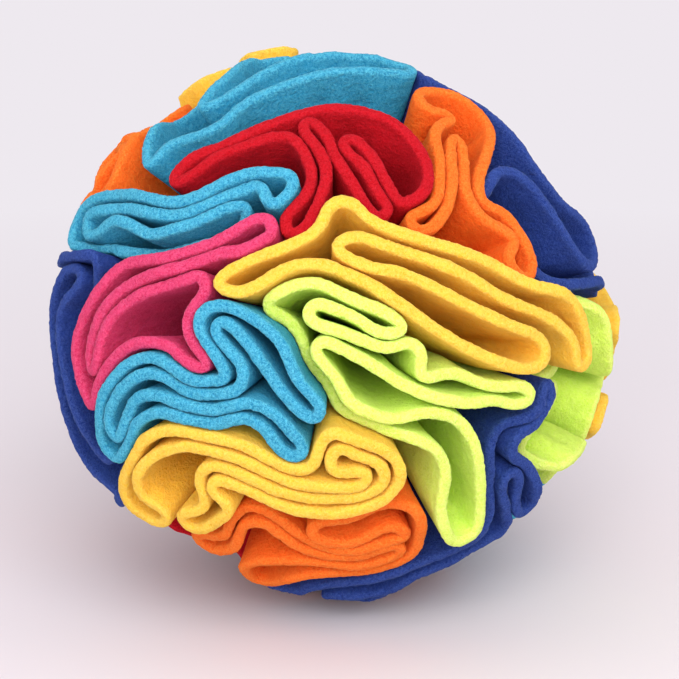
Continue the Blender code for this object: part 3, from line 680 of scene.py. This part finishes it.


# body colour, and the lighter colour of the painted highlights where fibre tips glint, as they look
fleeceColours = {
    "teal": ((22, 130, 172), (104, 200, 224)),
    "red": ((180, 4, 20), (206, 34, 48)),
    "orange": ((255, 98, 20), (255, 140, 60)),
    "yellow": ((255, 190, 48), (255, 214, 106)),
    "blue": ((26, 50, 122), (64, 88, 158)),
    "magenta": ((204, 42, 90), (230, 90, 134)),
    "green": ((218, 252, 84), (240, 255, 150)),
}
# the fibres' noises, how they colour the cloth with random tone, painted shade in the clump hollows and
# painted highlights, and how high they stand
fibres = {
    "clumpNoise": {"Scale": 330, "Detail": 2},
    "grainNoise": {"Scale": 1500, "Detail": 2, "Roughness": 0.6},
    "fibreNoise": {"Scale": 3800, "Detail": 2, "Roughness": 0.7},
    "clumpShadeShare": 0.8,
    "clumpShadePower": 1.06,
    "clumpContrast": 2,
    "clumpLess": 0.5,
    "grainGlint": 1.3,
    "fibreGlint": 1.5,
    "glintLess": 1.05,
    "tipGlint": 0.75,
    "wallGlint": 0.35,
    "clumpHeight": 0.8,
    "grainHeight": 0.55,
    "fibreHeight": 0.3,
    "bump": {"Strength": 1.0, "Distance": 0.0014},
    "shader": {
        "Roughness": 0.95,
        "Specular IOR Level": 0.12,
        "Subsurface Weight": 0.4,
        "Subsurface Radius": (1.0, 0.8, 0.6),
        "Subsurface Scale": 0.004,
        "Sheen Weight": 0.25,
        "Sheen Roughness": 0.55,
    },
}


def fleeceFinish(name):
    body, highlightColour = (linear(*shade) for shade in fleeceColours[name])
    finish, tree, shader = newFinish(name + "_fleece")
    where = Signal(tree).made("ShaderNodeTexCoord", output=3)
    clump = where.made("ShaderNodeTexNoise", {}, {"Vector": where, **fibres["clumpNoise"]})
    grain = where.made("ShaderNodeTexNoise", {}, {"Vector": where, **fibres["grainNoise"]})
    fibre = where.made("ShaderNodeTexNoise", {}, {"Vector": where, **fibres["fibreNoise"]})
    highlightWeight = where.made("ShaderNodeAttribute", {"attribute_name": "highlightWeight"}, output=2)
    # painted shade: a darker, more saturated copy of the body laid in where the clump noise is low, so the
    # hollows between clumps look shaded; this also gives a random tone
    deep = tuple(fibres["clumpShadeShare"] * c ** fibres["clumpShadePower"] for c in body[:3]) + (1,)
    shadedGround = (clump * fibres["clumpContrast"] - fibres["clumpLess"]).mix(deep, body)
    # painted highlights: glints painted lighter where grain and fibre noises peak, stronger near the rims by
    # the highlight weight
    bright = grain * fibres["grainGlint"] + fibre * fibres["fibreGlint"] - fibres["glintLess"]
    glint = bright * (highlightWeight * fibres["tipGlint"] + fibres["wallGlint"])
    colour = glint.clamped().mix(shadedGround, highlightColour)
    height = clump * fibres["clumpHeight"] + grain * fibres["grainHeight"] + fibre * fibres["fibreHeight"]
    bump = where.made("ShaderNodeBump", {}, {**fibres["bump"], "Height": height})
    tree.links.new(colour.socket, shader.inputs["Base Color"])
    tree.links.new(bump.socket, shader.inputs["Normal"])
    for key, value in fibres["shader"].items():
        shader.inputs[key].default_value = value
    shader.inputs["Sheen Tint"].default_value = highlightColour
    return finish


cordLook = {
    "dark": (205, 200, 188),
    "light": (240, 237, 228),
    "strandNoise": {"Scale": 3000, "Detail": 2},
    "bump": {"Strength": 0.6, "Distance": 0.0002},
    "roughness": 0.7,
}


def cordFinish():
    finish, tree, shader = newFinish("braided_cord")
    where = Signal(tree).made("ShaderNodeTexCoord", output=3)
    strands = where.made("ShaderNodeTexNoise", {}, {"Vector": where, **cordLook["strandNoise"]})
    colour = strands.mix(linear(*cordLook["dark"]), linear(*cordLook["light"]))
    bump = where.made("ShaderNodeBump", {}, {**cordLook["bump"], "Height": strands})
    tree.links.new(colour.socket, shader.inputs["Base Color"])
    tree.links.new(bump.socket, shader.inputs["Normal"])
    shader.inputs["Roughness"].default_value = cordLook["roughness"]
    return finish


# Room: floor, light and camera

room = {
    "floorSize": 8,
    "floorColour": (220, 212, 216),
    "floorRoughness": 0.8,
    "floorSpecular": 0.2,
    "backColour": (238, 233, 239),
    "fadeFrom": 0.13,
    "fadeTo": 0.5,
    "worldColour": (244, 242, 246),
    "worldStrength": 0.9,
    "keyPlace": (0.2, -1.0, 0.75),
    "keyPower": 13.0,
    "keySize": 0.9,
    "fillPlace": (-0.35, -1.1, 0.3),
    "fillPower": 8.5,
    "fillSize": 1.2,
    "sensor": 36,
    "clipFrom": 0.01,
    "clipTo": 50,
}


def makeRoom():
    bpy.ops.object.select_all(action="DESELECT")
    bpy.ops.mesh.primitive_plane_add(size=room["floorSize"])
    floor = bpy.context.object
    floor.name = "floor"
    finish, tree, shader = newFinish("pale_floor")
    shader.inputs["Base Color"].default_value = linear(*room["floorColour"])
    shader.inputs["Roughness"].default_value = room["floorRoughness"]
    shader.inputs["Specular IOR Level"].default_value = room["floorSpecular"]
    # far from the ball the camera sees an even backdrop
    where = Signal(tree).made("ShaderNodeTexCoord", output=3)
    away = where.made("ShaderNodeVectorMath", {"operation": "LENGTH"}, {0: where}, 1)
    far = ((away - room["fadeFrom"]) * (1 / (room["fadeTo"] - room["fadeFrom"]))).clamped()
    seen = far * where.made("ShaderNodeLightPath", output=0)
    glow = where.made("ShaderNodeEmission", {}, {"Color": linear(*room["backColour"]), "Strength": 1})
    near = Signal(tree, shader.outputs[0])
    both = where.made("ShaderNodeMixShader", {}, {0: seen, 1: near, 2: glow})
    tree.links.new(both.socket, tree.nodes["Material Output"].inputs["Surface"])
    floor.data.materials.append(finish)
    world = scene.world or bpy.data.worlds.new("world")
    scene.world = world
    world.use_nodes = True
    sky = world.node_tree.nodes["Background"]
    sky.inputs["Color"].default_value = linear(*room["worldColour"])
    sky.inputs["Strength"].default_value = room["worldStrength"]


def makeLamp(name):
    lamp = bpy.data.lights.new(name, "AREA")
    lamp.energy = room[name + "Power"]
    lamp.size = room[name + "Size"]
    item = bpy.data.objects.new(name, lamp)
    scene.collection.objects.link(item)
    item.location = room[name + "Place"]
    aim = Vector(ball["centre"]) - item.location
    item.rotation_mode = "QUATERNION"
    item.rotation_quaternion = aim.to_track_quat("-Z", "Y")


def makeCamera():
    lens = bpy.data.cameras.new("camera")
    item = bpy.data.objects.new("camera", lens)
    scene.collection.objects.link(item)
    focal = photo["limb"] / math.tan(math.asin(ball["radius"] / photo["distance"]))
    lens.sensor_width = room["sensor"]
    lens.lens = focal / photo["width"] * lens.sensor_width
    lens.shift_x = (photo["width"] / 2 - photo["centreX"]) / photo["width"]
    lens.shift_y = -(photo["width"] / 2 - photo["centreY"]) / photo["width"]
    lens.clip_start = room["clipFrom"]
    lens.clip_end = room["clipTo"]
    item.location = Vector(ball["centre"] + eye * photo["distance"])
    item.rotation_mode = "QUATERNION"
    item.rotation_quaternion = Vector(-eye).to_track_quat("-Z", "Y")
    scene.camera = item


def makeCloth(lines, heights, sides, rooms):
    finishes = {name: fleeceFinish(name) for name in fleeceColours}
    for number, name in enumerate(lines):
        seed = fleece["seed"] + fleece["seedStep"] * number
        item = sheetPiece(name, lines[name], heights[name], sides[name], rooms[name], seed)
        fuzz(item)
        colour = name.split("_")[1]
        item.data.materials.append(finishes[colour])
        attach(item, bodyName)
        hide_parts(name)
        cut = ball["smallCuts"].get(name, ball["cut"])
        math.pi * cut**2 / 4


makeRoom()
makeLamp("key")
makeLamp("fill")
makeCamera()
scene.view_settings.view_transform = "Standard"
print("room, lamps and camera are set")

rims, curves = startRims()
print("rims are read:", len(rims))
rims = settle(rims, curves)
lines, heights, sides = fineLines(rims, curves)
print("rims are settled:", sum(len(line) for line in lines.values()), "places")
makeCloth(lines, heights, sides, sideRoom(lines, sides))
print("cloth is made")

cord = cordFinish()
for name in ("core_cord", "core_knot"):
    nodes[name].data.materials.clear()
    nodes[name].data.materials.append(cord)
print("cord is finished")
